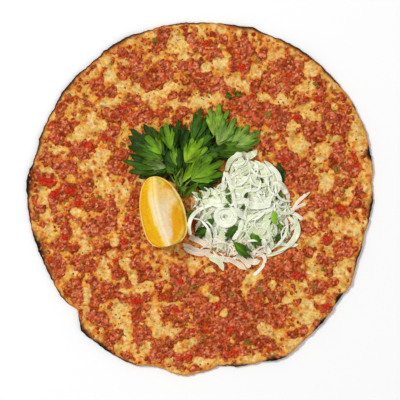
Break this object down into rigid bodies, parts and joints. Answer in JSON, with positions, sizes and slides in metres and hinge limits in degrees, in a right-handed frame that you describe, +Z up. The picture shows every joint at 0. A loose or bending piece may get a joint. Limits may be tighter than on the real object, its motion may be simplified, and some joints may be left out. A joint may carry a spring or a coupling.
{
  "type": "lahmacun",
  "caption": "Thin round flatbread with a charred wavy edge under minced meat, garnished with a lemon wedge, parsley leaves and sliced onion.",
  "frame": {"origin": "middle of the bounding box's bottom, on the flatbread's flat underside", "axes": "+Z up out of the flatbread; +Y from the lemon wedge towards the parsley; +X from the lemon wedge towards the onion"},
  "size_m": [0.2998, 0.305, 0.0297],
  "materials": {
    "baked_dough": null,
    "minced_meat": null,
    "lemon": null,
    "sliced_onion": null,
    "parsley": null
  },
  "bodies": {
    "root": {"flatbread": "baked_dough", "meat_topping": "minced_meat", "lemon_wedge": "lemon", "onion_heap": "sliced_onion", "parsley_bunch": "parsley"}
  },
  "joints": []
}
